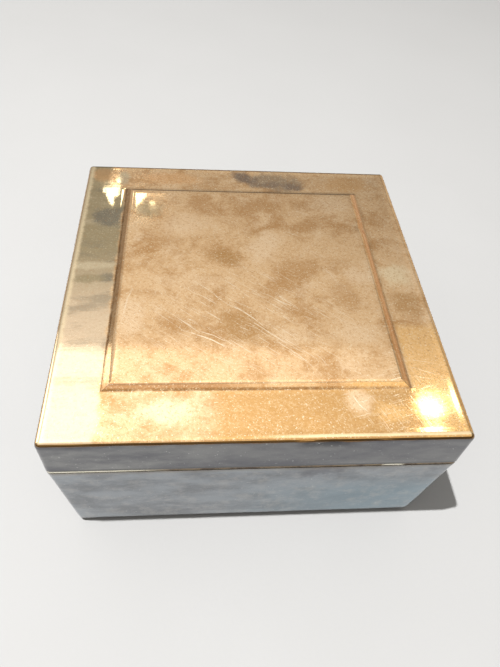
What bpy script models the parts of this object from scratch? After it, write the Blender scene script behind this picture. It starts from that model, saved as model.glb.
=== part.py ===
"""A square table box of pressed, plated sheet metal, with a hinged lid, a raised lid panel and wood linings.

Metres, +Z up. The front faces -Y and the hinge runs along X at the back. The origin is on the table, under
the middle of the box. Each object is one real piece. The lid's pieces hang on an empty that sits on the
hinge axis, so turning that empty about X opens the lid.
"""

import math

import bmesh
import bpy

MM = 0.001

# Driving dimensions.
LID_WIDTH = 120.0 * MM  # along X
LID_DEPTH = 124.0 * MM  # along Y
LID_TOP_Z = 58.1 * MM  # the flat border round the raised panel
PARTING_Z = 43.0 * MM  # where the lid meets the base, and the height of the hinge axis
BASE_TAPER = 2.5 * MM  # how far the base's walls lean in on their way down, on each side
SHEET = 0.8 * MM
EDGE_RADIUS = 1.8 * MM  # outside radius of the pressed edges and corners
GAP = 0.3 * MM  # room left between pieces that touch

# The raised panel of the lid.
PANEL_MARGIN = 15.4 * MM
PANEL_SLOPE = 1.8 * MM
PANEL_RISE = 1.6 * MM
PANEL_CORNER = 0.6 * MM

# The bead along the base's top edge.
BEAD_RADIUS = 0.5 * MM
BEAD_INSET = 0.55 * MM

# The hinge. Its barrel lies flush with the back, in the slot between the lid's edge and the base's edge.
# The two edges of that slot meet as the lid passes 100 degrees, and so they are its stop.
KNUCKLE_RADIUS = 1.7 * MM
BORE_RADIUS = 0.95 * MM
PIN_RADIUS = 0.8 * MM
HINGE_INSET = 1.75 * MM  # from the back's outer face to the axis
HINGE_SLOT = 2.2 * MM  # half the height of the slot
HINGE_SLOT_DEPTH = 0.4 * MM  # how far the slot reaches in past the axis
HINGE_WIDTH = 118.0 * MM
KNUCKLE_COUNT = 7
LEAF_THICKNESS = 0.6 * MM
LEAF_HEIGHT = 7.8 * MM
LEAF_WIDTH = 115.0 * MM
TAB_THICKNESS = 0.4 * MM
TAB_SHOULDER = 0.1 * MM

# The wood linings and the pad underneath.
BOARD = 3.0 * MM
LINING_INSET = 1.35 * MM  # from a wall's outer face to the lining's outer face
BACK_LINING_INSET = 2.0 * MM  # leaves room for the hinge's leaf
LIP = 2.2 * MM  # the base's lining stands this far above the parting, and keeps the lid in place
PAD = 0.7 * MM
PAD_INSET = 7.0 * MM
PAD_CORNER = 6.0 * MM

BASE_Z = PAD + GAP
LID_EDGE_Z = PARTING_Z + GAP
BEAD_Z = PARTING_Z - BEAD_RADIUS
WALL_TOP_Z = PARTING_Z - 2 * BEAD_RADIUS - GAP
AXIS_Y = LID_DEPTH / 2 - HINGE_INSET
FLOOR_Z = BASE_Z + SHEET + GAP
LID_LINING_TOP_Z = LID_TOP_Z - SHEET - GAP
PIECE_ROUNDING = 0.25 * MM
BRASS_ROUNDING = 0.15 * MM

CURVE_STEPS = 4
BARREL_SIDES = 32


def clear_scene():
    for obj in list(bpy.data.objects):
        bpy.data.objects.remove(obj, do_unlink=True)


def new_collection(name):
    collection = bpy.data.collections.new(name)
    bpy.context.scene.collection.children.link(collection)
    return collection


def new_material(name, colour, roughness, metallic):
    material = bpy.data.materials.new(name)
    material.use_nodes = True
    shader = material.node_tree.nodes["Principled BSDF"]
    shader.inputs["Base Color"].default_value = (*colour, 1.0)
    shader.inputs["Roughness"].default_value = roughness
    shader.inputs["Metallic"].default_value = metallic
    material.diffuse_color = (*colour, 1.0)
    return material


clear_scene()
BOX = new_collection("plated_table_box")
CUTTERS = new_collection("cutters")

PLATE = new_material("worn_plate", (0.62, 0.47, 0.29), 0.30, 1.0)
BASE_PLATE = new_material("grey_plate", (0.50, 0.49, 0.46), 0.34, 1.0)
BRIGHT_BRASS = new_material("bright_brass", (0.86, 0.72, 0.46), 0.20, 1.0)
HINGE_BRASS = new_material("hinge_brass", (0.66, 0.50, 0.26), 0.32, 1.0)
STEEL = new_material("pin_steel", (0.58, 0.57, 0.55), 0.30, 1.0)
CEDAR = new_material("cedar", (0.42, 0.20, 0.10), 0.55, 0.0)
FELT = new_material("green_felt", (0.05, 0.14, 0.09), 0.95, 0.0)


def wall_rectangle(z, inset=0.0, back_inset=None):
    """(x low, x high, y low, y high) at height z, set in from the outer faces of the box's walls."""
    lean = BASE_TAPER * max(PARTING_Z - z, 0.0) / (PARTING_Z - BASE_Z)
    half_x = LID_WIDTH / 2 - lean - inset
    half_y = LID_DEPTH / 2 - lean - inset
    back = half_y if back_inset is None else half_y + inset - back_inset
    return -half_x, half_x, -half_y, back


def tapered_block(z_low, low, z_high, high):
    """A cube whose bottom and top are moved to the rectangles low and high."""
    bm = bmesh.new()
    bmesh.ops.create_cube(bm, size=1.0)
    for vert in bm.verts:
        x_low, x_high, y_low, y_high = high if vert.co.z > 0 else low
        vert.co.x = x_high if vert.co.x > 0 else x_low
        vert.co.y = y_high if vert.co.y > 0 else y_low
        vert.co.z = z_high if vert.co.z > 0 else z_low
    return bm


def straight_block(x_low, x_high, y_low, y_high, z_low, z_high):
    outline = (x_low, x_high, y_low, y_high)
    return tapered_block(z_low, outline, z_high, outline)


def add_piece(name, bm, material, on_lid=False):
    """A node of the box. A piece of the lid hangs on the hinge's empty, so its mesh counts from the axis."""
    if on_lid:
        bmesh.ops.translate(bm, verts=bm.verts, vec=(0.0, -AXIS_Y, -PARTING_Z))
    mesh = bpy.data.meshes.new(name)
    bm.to_mesh(mesh)
    bm.free()
    mesh.shade_smooth()
    mesh.set_sharp_from_angle(angle=math.radians(35))
    mesh.materials.append(material)
    obj = bpy.data.objects.new(name, mesh)
    BOX.objects.link(obj)
    if on_lid:
        obj.parent = LID_AXIS
    return obj


def add_cutter(name, bm):
    mesh = bpy.data.meshes.new(name)
    bm.to_mesh(mesh)
    bm.free()
    obj = bpy.data.objects.new(name, mesh)
    obj.hide_render = True
    obj.display_type = "WIRE"
    CUTTERS.objects.link(obj)
    return obj


def boolean(obj, other, operation):
    modifier = obj.modifiers.new(operation.lower() + "_" + other.name, "BOOLEAN")
    modifier.operation = operation
    modifier.solver = "EXACT"
    modifier.object = other


def solidify_inwards(obj):
    modifier = obj.modifiers.new("sheet", "SOLIDIFY")
    modifier.thickness = SHEET
    modifier.offset = -1.0
    modifier.use_even_offset = True


def round_edges(obj, width, segments=2):
    modifier = obj.modifiers.new("rounding", "BEVEL")
    modifier.width = width
    modifier.segments = segments
    modifier.limit_method = "ANGLE"
    modifier.angle_limit = math.radians(40)


def face_towards(bm, z_sign):
    """The face that looks straight up or straight down."""
    return max(bm.faces, key=lambda face: face.normal.z * z_sign)


def is_upright(edge):
    low, high = sorted(vert.co.z for vert in edge.verts)
    return high - low > EDGE_RADIUS


def hinge_slot_cutter(name, z_low, z_high):
    """Cuts the lid's or the base's back edge, so that the barrel has room and the lid can turn."""
    y_low = AXIS_Y - HINGE_SLOT_DEPTH
    return add_cutter(name, straight_block(-0.1, 0.1, y_low, 0.1, z_low, z_high))


def make_lid_cover():
    """The pressed lid: an upright skirt, a rounded edge, a flat border and the raised panel."""
    low, high = wall_rectangle(LID_EDGE_Z), wall_rectangle(LID_TOP_Z)
    bm = tapered_block(LID_EDGE_Z, low, LID_TOP_Z, high)
    outer = [edge for edge in bm.edges if is_upright(edge)]
    outer += list(face_towards(bm, 1).edges)
    top = [face_towards(bm, 1)]
    bmesh.ops.inset_region(bm, faces=top, thickness=PANEL_MARGIN, use_even_offset=True)
    bmesh.ops.inset_region(bm, faces=top, thickness=PANEL_SLOPE, depth=PANEL_RISE, use_even_offset=True)
    panel = [vert for vert in bm.verts if vert.co.z > LID_TOP_Z + PANEL_RISE / 2]
    panel_corners = [edge for vert in panel for edge in vert.link_edges if edge.other_vert(vert) not in panel]
    bmesh.ops.bevel(bm, geom=panel_corners, offset=PANEL_CORNER, segments=3, profile=0.5, affect="EDGES")
    outer = [edge for edge in outer if edge.is_valid]
    bmesh.ops.bevel(bm, geom=outer, offset=EDGE_RADIUS, segments=CURVE_STEPS, profile=0.5, affect="EDGES")
    bmesh.ops.delete(bm, geom=[face_towards(bm, -1)], context="FACES_ONLY")
    cover = add_piece("lid_cover", bm, PLATE, on_lid=True)
    solidify_inwards(cover)
    boolean(cover, hinge_slot_cutter("lid_hinge_slot", 0.0, PARTING_Z + HINGE_SLOT), "DIFFERENCE")


def make_base_shell():
    """The pressed tray: tapered walls, a rounded foot and a flat floor."""
    low, high = wall_rectangle(BASE_Z), wall_rectangle(WALL_TOP_Z)
    bm = tapered_block(BASE_Z, low, WALL_TOP_Z, high)
    outer = [edge for edge in bm.edges if is_upright(edge)]
    outer += list(face_towards(bm, -1).edges)
    bmesh.ops.bevel(bm, geom=outer, offset=EDGE_RADIUS, segments=CURVE_STEPS, profile=0.5, affect="EDGES")
    bmesh.ops.delete(bm, geom=[face_towards(bm, 1)], context="FACES_ONLY")
    shell = add_piece("base_shell", bm, BASE_PLATE)
    solidify_inwards(shell)
    boolean(shell, hinge_slot_cutter("base_hinge_slot", PARTING_Z - HINGE_SLOT, 0.1), "DIFFERENCE")


def bead_path():
    """The bead's centre line: along the left side, round the front corners and back along the right side."""
    x_low, x_high, y_low, _ = wall_rectangle(BEAD_Z, BEAD_INSET)
    y_end = AXIS_Y - HINGE_SLOT_DEPTH - GAP
    radius = EDGE_RADIUS - BEAD_INSET
    points = [(x_low, y_end)]
    for x_centre, start in ((x_low + radius, 180), (x_high - radius, 270)):
        for step in range(CURVE_STEPS + 1):
            angle = math.radians(start + 90 * step / CURVE_STEPS)
            y_centre = y_low + radius
            points.append((x_centre + radius * math.cos(angle), y_centre + radius * math.sin(angle)))
    return points + [(x_high, y_end)]


def make_rim_bead():
    """The bright wire that finishes the base's top edge on its front and sides."""
    curve = bpy.data.curves.new("rim_bead", "CURVE")
    curve.dimensions = "3D"
    curve.bevel_depth = BEAD_RADIUS
    curve.bevel_resolution = 2
    curve.use_fill_caps = True
    points = bead_path()
    spline = curve.splines.new("POLY")
    spline.points.add(len(points) - 1)
    for point, (x, y) in zip(spline.points, points):
        point.co = (x, y, BEAD_Z, 1.0)
    curve.materials.append(BRIGHT_BRASS)
    BOX.objects.link(bpy.data.objects.new("rim_bead", curve))


def barrel(x_low, x_high, radius):
    """A round bar along X, centred on the hinge axis."""
    bm = bmesh.new()
    bmesh.ops.create_cone(
        bm, cap_ends=True, segments=BARREL_SIDES, radius1=radius, radius2=radius, depth=x_high - x_low
    )
    for vert in bm.verts:
        across, along, up = vert.co
        vert.co = ((x_low + x_high) / 2 + up, AXIS_Y + across, PARTING_Z + along)
    return bm


def knuckle_spans(first):
    """(x low, x high) of every second knuckle, starting at number first."""
    pitch = HINGE_WIDTH / KNUCKLE_COUNT
    for number in range(first, KNUCKLE_COUNT, 2):
        x_low = -HINGE_WIDTH / 2 + number * pitch
        yield x_low + GAP / 2, x_low + pitch - GAP / 2


def make_hinge_leaf(name, first, side, on_lid):
    """One half of the hinge: a leaf inside the back, with tabs that reach the knuckles. side is 1 for up."""
    root = PARTING_Z + side * HINGE_SLOT
    heights = sorted((root, root + side * LEAF_HEIGHT))
    backs = [wall_rectangle(z, SHEET + GAP)[3] for z in heights]
    low, high = ((-LEAF_WIDTH / 2, LEAF_WIDTH / 2, back - LEAF_THICKNESS, back) for back in backs)
    leaf = add_piece(name, tapered_block(heights[0], low, heights[1], high), HINGE_BRASS, on_lid)
    tab_back = wall_rectangle(root, SHEET + GAP)[3] - TAB_SHOULDER
    tab_heights = sorted((PARTING_Z + side * (BORE_RADIUS + KNUCKLE_RADIUS) / 2, root + side * LEAF_THICKNESS))
    for number, (x_low, x_high) in enumerate(knuckle_spans(first)):
        tab_low = max(x_low + TAB_SHOULDER, TAB_SHOULDER - LEAF_WIDTH / 2)
        tab_high = min(x_high - TAB_SHOULDER, LEAF_WIDTH / 2 - TAB_SHOULDER)
        tab = straight_block(tab_low, tab_high, tab_back - TAB_THICKNESS, tab_back, *tab_heights)
        boolean(leaf, add_cutter(f"{name}_tab_{number}", tab), "UNION")
        boolean(leaf, add_cutter(f"{name}_knuckle_{number}", barrel(x_low, x_high, KNUCKLE_RADIUS)), "UNION")
    boolean(leaf, add_cutter(name + "_bore", barrel(-HINGE_WIDTH, HINGE_WIDTH, BORE_RADIUS)), "DIFFERENCE")


def make_hinge_pin():
    pin = add_piece("hinge_pin", barrel(-HINGE_WIDTH / 2, HINGE_WIDTH / 2, PIN_RADIUS), STEEL)
    round_edges(pin, BRASS_ROUNDING)


def add_board(name, z_low, low, z_high, high, on_lid=False):
    round_edges(add_piece(name, tapered_block(z_low, low, z_high, high), CEDAR, on_lid), PIECE_ROUNDING)


def lining_outlines(side, z_values):
    """The outline of one lining board at each height. Front and sides meet the walls, the back meets the leaf."""
    for z in z_values:
        x_low, x_high, y_low, _ = wall_rectangle(z, LINING_INSET)
        y_high = wall_rectangle(z, BACK_LINING_INSET)[3]
        inner_y = y_high - BOARD
        if side == "back":
            yield x_low, x_high, inner_y, y_high
        elif side == "left":
            yield x_low, x_low + BOARD, y_low, inner_y - GAP
        elif side == "right":
            yield x_high - BOARD, x_high, y_low, inner_y - GAP
        else:
            yield x_low + BOARD + GAP, x_high - BOARD - GAP, y_low, y_low + BOARD


def make_linings():
    """Cedar boards: four round the base and its floor, four round the lid and its ceiling."""
    inside = LINING_INSET + BOARD + GAP
    back_inside = BACK_LINING_INSET + BOARD + GAP
    for side in ("front", "left", "right", "back"):
        top = PARTING_Z - HINGE_SLOT - GAP if side == "back" else PARTING_Z + LIP
        z_values = (FLOOR_Z + GAP, top)
        low, high = lining_outlines(side, z_values)
        add_board("base_lining_" + side, z_values[0], low, z_values[1], high)
        z_values = (PARTING_Z + LIP + 2 * GAP, LID_LINING_TOP_Z - BOARD - GAP)
        low, high = lining_outlines(side, z_values)
        add_board("lid_lining_" + side, z_values[0], low, z_values[1], high, on_lid=True)
    floor_top = FLOOR_Z + BOARD
    low, high = wall_rectangle(FLOOR_Z, inside, back_inside), wall_rectangle(floor_top, inside, back_inside)
    add_board("base_lining_floor", FLOOR_Z, low, floor_top, high)
    bottom = LID_LINING_TOP_Z - BOARD
    low, high = wall_rectangle(bottom, LINING_INSET + GAP), wall_rectangle(LID_LINING_TOP_Z, LINING_INSET + GAP)
    add_board("lid_lining_ceiling", bottom, low, LID_LINING_TOP_Z, high, on_lid=True)


def make_base_pad():
    """The felt under the floor, which the box rests on."""
    low = wall_rectangle(BASE_Z, PAD_INSET)
    bm = tapered_block(0.0, low, PAD, low)
    uprights = [edge for edge in bm.edges if abs(edge.verts[0].co.z - edge.verts[1].co.z) > PAD / 2]
    bmesh.ops.bevel(bm, geom=uprights, offset=PAD_CORNER, segments=6, profile=0.5, affect="EDGES")
    add_piece("base_pad", bm, FELT)


LID_AXIS = bpy.data.objects.new("lid_hinge_axis", None)
LID_AXIS.location = (0.0, AXIS_Y, PARTING_Z)
BOX.objects.link(LID_AXIS)

make_base_shell()
make_rim_bead()
make_base_pad()
make_linings()
make_hinge_leaf("hinge_leaf_base", 0, -1, on_lid=False)
make_hinge_leaf("hinge_leaf_lid", 1, 1, on_lid=True)
make_hinge_pin()
make_lid_cover()
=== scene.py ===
"""Looks for the square hinged metal table box.

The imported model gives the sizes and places. The pieces' lengths are in millimetres until a mesh or an object
takes them, and the stage and its lights are in metres. The front faces -Y, the hinge runs along X at the
back, and the origin is on the table under the middle.
"""

import math

import bmesh
import bpy
import numpy as np
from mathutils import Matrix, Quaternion, Vector, noise


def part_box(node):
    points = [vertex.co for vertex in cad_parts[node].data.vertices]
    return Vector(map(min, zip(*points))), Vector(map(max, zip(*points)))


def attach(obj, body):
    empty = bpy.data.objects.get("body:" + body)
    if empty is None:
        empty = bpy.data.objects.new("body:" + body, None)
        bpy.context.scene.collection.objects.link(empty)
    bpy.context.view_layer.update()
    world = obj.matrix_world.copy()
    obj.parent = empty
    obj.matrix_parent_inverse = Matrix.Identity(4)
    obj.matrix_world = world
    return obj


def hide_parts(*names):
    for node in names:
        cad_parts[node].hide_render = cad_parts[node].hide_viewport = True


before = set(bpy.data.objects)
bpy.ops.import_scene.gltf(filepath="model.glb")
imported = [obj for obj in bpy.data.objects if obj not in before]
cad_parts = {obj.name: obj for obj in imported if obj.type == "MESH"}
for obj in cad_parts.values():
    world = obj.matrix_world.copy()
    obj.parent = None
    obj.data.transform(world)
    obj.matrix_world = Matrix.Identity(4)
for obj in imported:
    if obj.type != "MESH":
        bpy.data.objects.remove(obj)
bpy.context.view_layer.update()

MM = 0.001


def node_box(name):
    """Lowest and highest corner of a CAD node, in millimetres."""
    low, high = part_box(name)
    return low / MM, high / MM


# ---------------------------------------------------------------- camera

EYE = Vector((-18.2, -131.7, 189.9)) * MM
AIM = Vector((-1.39, -24.61, 58.1)) * MM
ROLL = math.radians(6.89)
LENS = 29.81
SENSOR = 36.0


def make_camera():
    """Held close above the front edge, looking down at the lid, with a slight roll to the left."""
    data = bpy.data.cameras.new("camera")
    data.sensor_width = SENSOR
    data.lens = LENS
    data.clip_start = 0.01
    camera = bpy.data.objects.new("camera", data)
    bpy.context.scene.collection.objects.link(camera)
    camera.location = EYE
    camera.rotation_mode = "QUATERNION"
    camera.rotation_quaternion = (AIM - EYE).to_track_quat("-Z", "Y") @ Quaternion((0, 0, 1), ROLL)
    bpy.context.scene.camera = camera


make_camera()

# ---------------------------------------------------------------- sizes taken from the frame

LID_LOW, LID_HIGH = node_box("lid_cover")
BASE_LOW, BASE_HIGH = node_box("base_shell")
BEAD_LOW, BEAD_HIGH = node_box("rim_bead")
PAD_HIGH = node_box("base_pad")[1]

# The raised panel: its height, its middle, how far its foot is from there, and the width of its slopes. The
# lid's grid lines on the slopes are SLOPE_STEP apart.
PANEL_RISE = 1.6
PANEL_X, PANEL_Y = 0.25, 0.5
PANEL_FOOT_X, PANEL_FOOT_Y = 44.85, 46.0
SIDE_SLOPE, FRONT_SLOPE = 3.4, 2.6
SLOPE_STEP = 0.12

# The pressed sheet: rounding of its edges, the proud lip beside them, its thickness and the base's lean.
EDGE_RADIUS = 1.8
EDGE_STEPS = 6
LIP_RISE, LIP_WIDTH = 0.05, 2.0
SHEET = 0.8
BASE_TAPER = 2.5

# The slot for the hinge behind SLOT_FACE, and the height where lid and base meet.
SLOT_FACE = 59.85
SLOT_HALF = 2.2
PARTING = 43.0

BEAD_INSET = 0.55
PAD_CORNER = 6.0
CORNER_STEPS = 8

LID_HALF_X = LID_HIGH.x
LID_HALF_Y = -LID_LOW.y
BORDER_Z = LID_HIGH.z - PANEL_RISE


# ---------------------------------------------------------------- meshes

def new_piece(name, verts, faces, material, body, replaced):
    """A mesh from points in millimetres that rides on a CAD body and replaces CAD nodes."""
    mesh = bpy.data.meshes.new(name)
    mesh.from_pydata([[c * MM for c in vert] for vert in verts], [], faces)
    mesh.materials.append(material)
    piece = bpy.data.objects.new(name, mesh)
    bpy.context.scene.collection.objects.link(piece)
    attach(piece, body)
    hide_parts(*replaced)
    return piece


def grid_lines(low, high, step, fine=()):
    """Positions from low to high at most step apart, closer in each fine (start, end, spacing) stretch."""
    marks = [low, high]
    for start, end, spacing in fine:
        marks.extend(np.linspace(start, end, round((end - start) / spacing) + 1))
    marks = sorted(marks)
    lines = [marks[0]]
    for mark in marks[1:]:
        start, gap = lines[-1], mark - lines[-1]
        if gap > 1e-6:
            count = math.ceil(gap / step - 1e-6)
            lines.extend(start + gap * (i + 1) / count for i in range(count))
    return lines


def mirrored(stretches):
    """The stretches and their mirror images about zero."""
    return list(stretches) + [(-end, -start, spacing) for start, end, spacing in stretches]


def open_box(x_lines, y_lines, z_lines, place, keep):
    """Points and faces of a five-sided box. z_lines runs from the open rim to the closed face."""
    last_x, last_y, last_z = len(x_lines) - 1, len(y_lines) - 1, len(z_lines) - 1
    verts, faces, found = [], [], {}

    def vert(i, j, k):
        if (i, j, k) not in found:
            found[i, j, k] = len(verts)
            verts.append(place(x_lines[i], y_lines[j], z_lines[k]))
        return found[i, j, k]

    def quad(corners):
        middle = [
            sum(lines[corner[n]] for corner in corners) / 4
            for n, lines in enumerate((x_lines, y_lines, z_lines))
        ]
        if keep(*middle):
            faces.append([vert(*corner) for corner in corners])

    for i in range(last_x):
        for j in range(last_y):
            quad([(i, j, last_z), (i + 1, j, last_z), (i + 1, j + 1, last_z), (i, j + 1, last_z)])
    for k in range(last_z):
        for i in range(last_x):
            for j in (0, last_y):
                quad([(i, j, k), (i + 1, j, k), (i + 1, j, k + 1), (i, j, k + 1)])
        for j in range(last_y):
            for i in (0, last_x):
                quad([(i, j, k), (i, j + 1, k), (i, j + 1, k + 1), (i, j, k + 1)])
    return verts, faces


def turn_outwards(piece):
    """Every face of an open skin looks away from the middle of the piece."""
    bm = bmesh.new()
    bm.from_mesh(piece.data)
    bmesh.ops.recalc_face_normals(bm, faces=bm.faces)
    middle = sum((vert.co for vert in bm.verts), Vector()) / len(bm.verts)
    outwards = 0.0
    for face in bm.faces:
        outwards += face.calc_area() * face.normal.dot(face.calc_center_median() - middle)
    if outwards < 0:
        bmesh.ops.reverse_faces(bm, faces=bm.faces)
    bm.to_mesh(piece.data)
    bm.free()


def bake_modifiers(piece, sharp_degrees=40):
    """Applies the modifiers and keeps only real corners sharp."""
    depsgraph = bpy.context.evaluated_depsgraph_get()
    mesh = bpy.data.meshes.new_from_object(piece.evaluated_get(depsgraph))
    piece.modifiers.clear()
    piece.data = mesh
    mesh.shade_smooth()
    mesh.set_sharp_from_angle(angle=math.radians(sharp_degrees))


def make_sheet_metal(piece):
    """Gives an open skin the sheet's thickness, inwards, with a softened rim."""
    solidify = piece.modifiers.new("sheet", "SOLIDIFY")
    solidify.thickness = SHEET * MM
    solidify.offset = -1
    solidify.use_even_offset = True
    rim = piece.modifiers.new("rim", "BEVEL")
    rim.width = 0.2 * MM
    rim.segments = 2
    rim.limit_method = "ANGLE"
    rim.angle_limit = math.radians(60)
    bake_modifiers(piece)


def rounded_box_point(point, half_x, half_y, closed_z, inwards):
    """Moves a point of a box's surface onto the same box with rounded edges. closed_z is the height of its
    closed face, and inwards is 1 or -1, the way from there into the box."""
    x, y, z = point
    core_x = max(EDGE_RADIUS - half_x, min(half_x - EDGE_RADIUS, x))
    core_y = max(EDGE_RADIUS - half_y, min(half_y - EDGE_RADIUS, y))
    core_z = closed_z + inwards * EDGE_RADIUS if abs(closed_z - z) < EDGE_RADIUS else z
    core = Vector((core_x, core_y, core_z))
    away = Vector(point) - core
    if away.length < 1e-9:
        return Vector(point)
    return core + away.normalized() * EDGE_RADIUS


def smooth_step(value, low=0.0, high=1.0):
    """0 below low, 1 above high and a smooth change between them."""
    share = max(0.0, min(1.0, (value - low) / (high - low)))
    return share * share * (3 - 2 * share)


def ripple(x, y, z, size, seed):
    """Smooth noise from 0 to 1 with bumps about size apart."""
    return 0.5 + 0.5 * noise.noise(Vector((x + 61 * seed, y - 37 * seed, z + 17 * seed)) / size)


def eased_slope(share, foot=0.12, top=0.45):
    """0 to 1 along a slope with a tight foot and a broad, rounded top edge."""
    share = max(0.0, min(1.0, share))
    steepness = 1 / (1 - (foot + top) / 2)
    if share < foot:
        return steepness * share ** 2 / (2 * foot)
    if share > 1 - top:
        return 1 - steepness * (1 - share) ** 2 / (2 * top)
    return steepness * (share - foot / 2)


def panel_height(x, y):
    """Height of the raised panel above the border. Its four slopes meet in mitred corners."""
    side = eased_slope((PANEL_FOOT_X - abs(x - PANEL_X)) / SIDE_SLOPE)
    front = eased_slope((PANEL_FOOT_Y - abs(y - PANEL_Y)) / FRONT_SLOPE)
    return PANEL_RISE * min(side, front)


def lip_height(x, y):
    """The sheet stands slightly proud where it was drawn over the lid's edge, mostly in front and right."""
    inside = min(LID_HALF_X - abs(x), LID_HALF_Y - abs(y))
    rise = LIP_RISE * (0.25 + 0.75 * max(smooth_step(x, -40, 0), smooth_step(-y, 0, 40)))
    inner_end = smooth_step((inside - EDGE_RADIUS) / LIP_WIDTH)
    return rise * min(smooth_step(inside / EDGE_RADIUS), 1 - inner_end)


# Knocks in the lid's top: x, y, radius and depth.
DENTS = ((43.3, 25.5, 3.2, 0.20), (12.0, -58.5, 6.0, 0.12), (34.0, -59.0, 5.0, 0.14))


def dent_depth(x, y):
    """How deep the knocks have pushed the top in here."""
    depth = 0.0
    for dent_x, dent_y, radius, deepest in DENTS:
        depth += deepest * (1 - smooth_step(math.hypot(x - dent_x, y - dent_y), 0, radius))
    return depth


def wall_wave(x, y, z):
    """How far a wall is pressed in here. It fades to nothing at the rim, where lid and base have to meet."""
    fade = smooth_step(abs(z - PARTING), 0.5, 6)
    return fade * (0.10 * ripple(x, y, z, 14, 3) + 0.04 * ripple(x, y, z, 5, 4))


def pressed_in(spot, half_x, half_y):
    """The spot with its wall's wave taken off, towards the middle."""
    wave = wall_wave(*spot)
    if abs(spot.x) > half_x - 0.3 * EDGE_RADIUS:
        spot.x -= math.copysign(wave, spot.x)
    if abs(spot.y) > half_y - 0.3 * EDGE_RADIUS:
        spot.y -= math.copysign(wave, spot.y)
    return spot


def lid_point(x, y, z):
    """Where a point of the plain box that encloses the lid lies on the pressed lid."""
    spot = rounded_box_point((x, y, z), LID_HALF_X, LID_HALF_Y, BORDER_Z, -1)
    spot = pressed_in(spot, LID_HALF_X, LID_HALF_Y)
    if z >= BORDER_Z - 1e-6:
        spot.z += panel_height(x, y) + lip_height(x, y) - dent_depth(x, y)
        spot.z -= 0.05 * ripple(x, y, 0, 26, 1) + 0.012 * ripple(x, y, 0, 8, 2)
    return spot


def base_point(x, y, z):
    """Where a point of the plain box that encloses the base lies on the leaning base."""
    spot = rounded_box_point((x, y, z), LID_HALF_X, LID_HALF_Y, BASE_LOW.z, 1)
    spot = pressed_in(spot, LID_HALF_X, LID_HALF_Y)
    lean = BASE_TAPER * (PARTING - spot.z) / (PARTING - BASE_LOW.z)
    spot.x *= 1 - lean / LID_HALF_X
    spot.y *= 1 - lean / LID_HALF_Y
    return spot


def plan_lines(half, extra_fine=(), step=2.0):
    """Grid lines in X or Y: fine round the corners and in the extra_fine stretches."""
    corner = (half - EDGE_RADIUS, half, EDGE_RADIUS / EDGE_STEPS)
    return grid_lines(-half, half, step, mirrored([corner]) + [(SLOT_FACE, SLOT_FACE, 1.0), *extra_fine])


def lid_keep(x, y, z):
    """False in the hinge's slot in the back of the skirt."""
    return not (y > SLOT_FACE and z < PARTING + SLOT_HALF)


def base_keep(x, y, z):
    """False in the hinge's slot in the base's back wall."""
    return not (y > SLOT_FACE and z > PARTING - SLOT_HALF)


def lid_stretches(half, middle, foot, slope):
    """Where the lid's grid has to be fine: on the lip and on the panel's slopes."""
    lip = (half - EDGE_RADIUS - LIP_WIDTH, half - EDGE_RADIUS, LIP_WIDTH / 4)
    top = foot - slope
    slopes = [(middle + top, middle + foot, SLOPE_STEP), (middle - foot, middle - top, SLOPE_STEP)]
    return mirrored([lip]) + slopes


def make_lid(material):
    """The pressed lid, with the soft slopes, small dents and uneven walls of thin worn sheet."""
    x_lines = plan_lines(LID_HALF_X, lid_stretches(LID_HALF_X, PANEL_X, PANEL_FOOT_X, SIDE_SLOPE), 1.6)
    y_lines = plan_lines(LID_HALF_Y, lid_stretches(LID_HALF_Y, PANEL_Y, PANEL_FOOT_Y, FRONT_SLOPE), 1.6)
    arris = (BORDER_Z - EDGE_RADIUS, BORDER_Z, EDGE_RADIUS / EDGE_STEPS)
    slot_top = PARTING + SLOT_HALF
    z_lines = grid_lines(LID_LOW.z, BORDER_Z, 1.2, [arris, (slot_top, slot_top, 1.0)])
    verts, faces = open_box(x_lines, y_lines, z_lines, lid_point, lid_keep)
    lid = new_piece("lid_skin", verts, faces, material, "lid", ["lid_cover"])
    turn_outwards(lid)
    make_sheet_metal(lid)


def make_base(material):
    """The pressed tray with leaning walls and a rounded foot."""
    x_lines, y_lines = plan_lines(LID_HALF_X), plan_lines(LID_HALF_Y)
    foot = (BASE_LOW.z, BASE_LOW.z + EDGE_RADIUS, EDGE_RADIUS / EDGE_STEPS)
    slot_low = PARTING - SLOT_HALF
    z_lines = grid_lines(BASE_LOW.z, BASE_HIGH.z, 1.5, [foot, (slot_low, slot_low, 1.0)])[::-1]
    verts, faces = open_box(x_lines, y_lines, z_lines, base_point, base_keep)
    base = new_piece("base_skin", verts, faces, material, "base", ["base_shell"])
    turn_outwards(base)
    make_sheet_metal(base)


def make_bead(material):
    """The round wire on the base's rim, along the left side, the front and the right side."""
    radius = (BEAD_HIGH.z - BEAD_LOW.z) / 2
    inset_x, inset_y = BEAD_HIGH.x - radius, BEAD_LOW.y + radius
    corner = EDGE_RADIUS - BEAD_INSET
    path = [Vector((-inset_x, BEAD_HIGH.y, 0))]
    for side, first in ((-1, 180), (1, 270)):
        centre = Vector((side * (inset_x - corner), inset_y + corner, 0))
        for step in range(CORNER_STEPS + 1):
            angle = math.radians(first + 90 * step / CORNER_STEPS)
            path.append(centre + corner * Vector((math.cos(angle), math.sin(angle), 0)))
    path.append(Vector((inset_x, BEAD_HIGH.y, 0)))
    curve = bpy.data.curves.new("rim_wire", "CURVE")
    curve.dimensions = "3D"
    curve.bevel_depth = radius * MM
    curve.bevel_resolution = 5
    curve.use_fill_caps = True
    spline = curve.splines.new("POLY")
    spline.points.add(len(path) - 1)
    for point, place in zip(spline.points, path):
        point.co = (place.x * MM, place.y * MM, (BEAD_LOW.z + radius) * MM, 1.0)
    curve.materials.append(material)
    bead = bpy.data.objects.new("rim_wire", curve)
    bpy.context.scene.collection.objects.link(bead)
    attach(bead, "base")
    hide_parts("rim_bead")


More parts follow.
